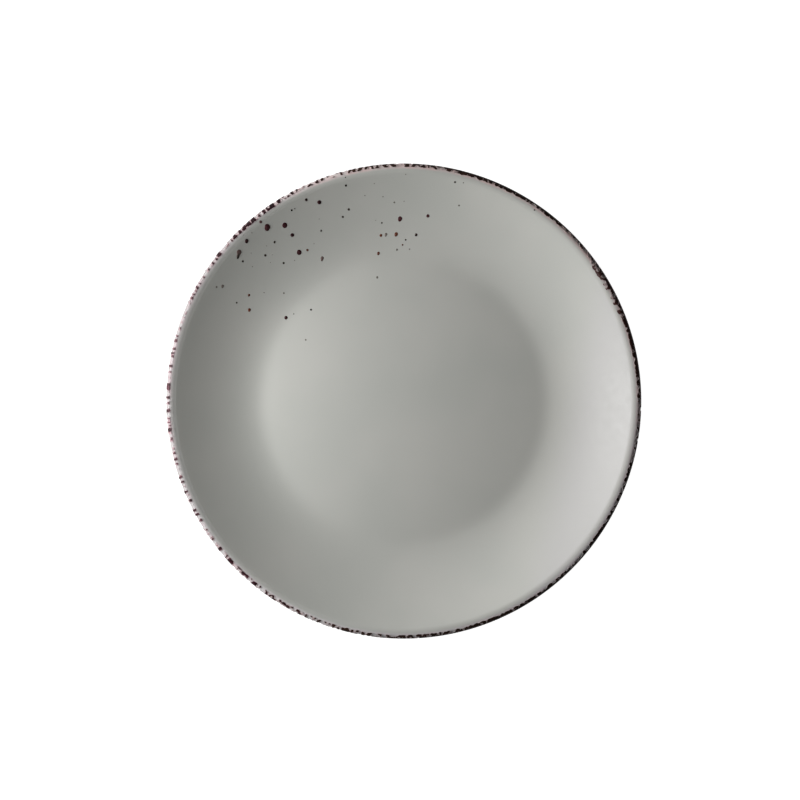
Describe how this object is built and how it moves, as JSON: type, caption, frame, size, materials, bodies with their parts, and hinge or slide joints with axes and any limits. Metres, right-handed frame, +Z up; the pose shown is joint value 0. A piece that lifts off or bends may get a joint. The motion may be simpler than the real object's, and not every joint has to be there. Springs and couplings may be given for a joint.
{
  "type": "dessert plate",
  "caption": "Round coupe dessert plate in grey glazed stoneware: flat well, swept wall, rolled lip lined in brown, brown spatter on one side, bare foot ring underneath.",
  "frame": {"origin": "on the table, under the middle of the plate, at the centre of the foot ring's resting face", "axes": "+Z up along the plate's axis, +Y towards the top of the picture, +X to its right"},
  "size_m": [0.21, 0.21, 0.026],
  "materials": {
    "stoneware": "bare fired clay, matt and a little gritty",
    "grey_glaze": "satin grey glaze",
    "brown_glaze": "near-black brown glaze, broken and frayed at its border",
    "plum_spatter": "dark plum brown glaze drops, glossy",
    "rust_spatter": "rust brown glaze drops, glossy",
    "faded_spatter": "thin grey brown glaze drops that have melted into the grey"
  },
  "bodies": {
    "root": {"stoneware_body": "stoneware", "face_glaze": "grey_glaze", "back_glaze": "grey_glaze", "base_glaze": "grey_glaze", "brown_edge": "brown_glaze", "spatter_drop_01": "plum_spatter", "spatter_drop_02": "plum_spatter", "spatter_drop_03": "plum_spatter", "spatter_drop_04": "plum_spatter", "spatter_drop_05": "plum_spatter", "spatter_drop_06": "faded_spatter", "spatter_drop_07": "plum_spatter", "spatter_drop_08": "plum_spatter", "spatter_drop_09": "plum_spatter", "spatter_drop_10": "plum_spatter", "spatter_drop_11": "plum_spatter", "spatter_drop_12": "rust_spatter", "spatter_drop_13": "faded_spatter", "spatter_drop_14": "plum_spatter", "spatter_drop_15": "plum_spatter", "spatter_drop_16": "faded_spatter", "spatter_drop_17": "faded_spatter", "spatter_drop_18": "rust_spatter", "spatter_drop_19": "rust_spatter", "spatter_drop_20": "plum_spatter", "spatter_drop_21": "plum_spatter", "spatter_drop_22": "plum_spatter", "spatter_drop_23": "faded_spatter", "spatter_drop_24": "faded_spatter", "spatter_drop_25": "plum_spatter", "spatter_drop_26": "plum_spatter", "spatter_drop_27": "plum_spatter", "spatter_drop_28": "plum_spatter", "spatter_drop_29": "plum_spatter", "spatter_drop_30": "plum_spatter", "spatter_drop_31": "plum_spatter", "spatter_drop_32": "rust_spatter", "spatter_drop_33": "plum_spatter", "spatter_drop_34": "rust_spatter", "spatter_drop_35": "faded_spatter", "spatter_drop_36": "rust_spatter", "spatter_drop_37": "faded_spatter", "spatter_drop_38": "plum_spatter", "spatter_drop_39": "plum_spatter", "spatter_drop_40": "rust_spatter", "spatter_drop_41": "faded_spatter", "spatter_drop_42": "faded_spatter", "spatter_drop_43": "faded_spatter", "spatter_drop_44": "plum_spatter"}
  },
  "joints": []
}
